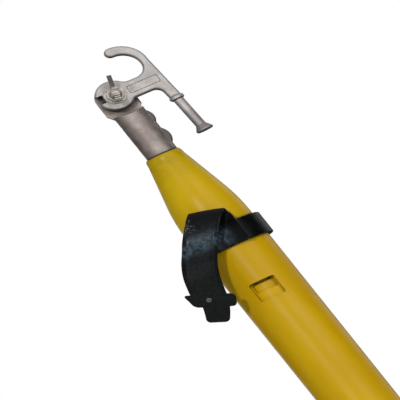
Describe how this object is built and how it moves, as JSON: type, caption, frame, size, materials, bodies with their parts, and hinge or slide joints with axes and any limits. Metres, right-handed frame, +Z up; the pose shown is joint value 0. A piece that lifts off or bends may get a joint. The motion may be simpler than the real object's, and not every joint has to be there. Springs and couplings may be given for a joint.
{
  "type": "telescoping hot stick",
  "caption": "Telescoping insulated lineman's hot stick with a splined ferrule, cast disconnect hook, nose cone, lock buttons and rubber retention strap.",
  "frame": {"origin": "centre of the butt cap's flat underside", "axes": "+Z up the stick to the hook, -Y the front with the lock windows, +X to the hook's spine side"},
  "size_m": [0.1096, 0.0799, 1.4137],
  "materials": {
    "yellow_tube": "gloss gel coat on fibreglass",
    "yellow_plastic": "moulded gloss",
    "inner_tube": "gloss fibreglass",
    "black_rubber": "satin moulded rubber",
    "grey_nylon": "turned nylon",
    "button_plastic": "moulded",
    "spring_steel": "bright spring steel",
    "foam": "closed-cell foam",
    "cast_metal": "fine sand cast, satin",
    "steel": "zinc plated"
  },
  "bodies": {
    "base": {"base_tube": "yellow_tube", "butt_cap": "black_rubber", "rest_pad": "black_rubber", "base_mouth_collar": "yellow_plastic", "retention_strap": "black_rubber", "strap_stud": "steel"},
    "section_2": {"section_2_tube": "inner_tube", "section_2_plug": "grey_nylon", "section_2_mouth_collar": "yellow_plastic", "section_2_button_spring": "spring_steel"},
    "section_3": {"section_3_tube": "inner_tube", "section_3_plug": "grey_nylon", "section_3_mouth_collar": "yellow_plastic", "section_3_button_spring": "spring_steel"},
    "section_4": {"section_4_tube": "inner_tube", "section_4_plug": "grey_nylon", "section_4_mouth_collar": "yellow_plastic", "section_4_button_spring": "spring_steel"},
    "tip": {"tip_tube": "inner_tube", "tip_plug": "grey_nylon", "tip_button_spring": "spring_steel", "tip_core": "foam", "nose_cone": "yellow_plastic", "universal_ferrule": "cast_metal", "ferrule_rivets": "steel"},
    "section_2_button": {"section_2_button": "button_plastic"},
    "section_3_button": {"section_3_button": "button_plastic"},
    "section_4_button": {"section_4_button": "button_plastic"},
    "tip_button": {"tip_button": "button_plastic"},
    "head_washers": {"flat_washer": "steel", "spring_washer": "spring_steel"},
    "hook": {"hook_head": "cast_metal"},
    "wing_screw": {"wing_screw": "cast_metal", "retaining_clip": "spring_steel"}
  },
  "joints": [
    {"name": "section_2_slide", "type": "slide", "parent": "base", "child": "section_2", "axis": [0, 0, 1], "range_m": [0, 1.1104]},
    {"name": "section_3_slide", "type": "slide", "parent": "section_2", "child": "section_3", "axis": [0, 0, 1], "range_m": [0, 1.0631]},
    {"name": "section_4_slide", "type": "slide", "parent": "section_3", "child": "section_4", "axis": [0, 0, 1], "range_m": [0, 1.0158]},
    {"name": "tip_slide", "type": "slide", "parent": "section_4", "child": "tip", "axis": [0, 0, 1], "range_m": [0, 0.9685]},
    {"name": "section_2_button_press", "type": "slide", "parent": "section_2", "child": "section_2_button", "axis": [0, 1, 0], "range_m": [0, 0.002], "stiffness_N_per_m": 600, "springref_m": -0.003, "deforming": ["section_2_button_spring"]},
    {"name": "section_3_button_press", "type": "slide", "parent": "section_3", "child": "section_3_button", "axis": [0, 1, 0], "range_m": [0, 0.002], "stiffness_N_per_m": 600, "springref_m": -0.003, "deforming": ["section_3_button_spring"]},
    {"name": "section_4_button_press", "type": "slide", "parent": "section_4", "child": "section_4_button", "axis": [0, 1, 0], "range_m": [0, 0.002], "stiffness_N_per_m": 600, "springref_m": -0.003, "deforming": ["section_4_button_spring"]},
    {"name": "tip_button_press", "type": "slide", "parent": "tip", "child": "tip_button", "axis": [0, 1, 0], "range_m": [0, 0.002], "stiffness_N_per_m": 600, "springref_m": -0.003, "deforming": ["tip_button_spring"]},
    {"name": "wing_screw_turn", "type": "hinge", "parent": "head_washers", "child": "wing_screw", "pos_m": [0, 0, 1.3705], "axis": [0.1736, -0.9848, 0], "range_deg": [0, 720]},
    {"name": "head_lift", "type": "slide", "parent": "tip", "child": "head_washers", "axis": [0.1736, -0.9848, 0], "range_m": [0, 0.0025]},
    {"name": "hook_turn", "type": "hinge", "parent": "head_washers", "child": "hook", "pos_m": [0, 0, 1.3705], "axis": [0.1736, -0.9848, 0], "range_deg": [-15, 120]}
  ],
  "couplings": [
    {"joint": "wing_screw_turn", "follows": "head_lift", "rad_per_m": 5026.5}
  ]
}
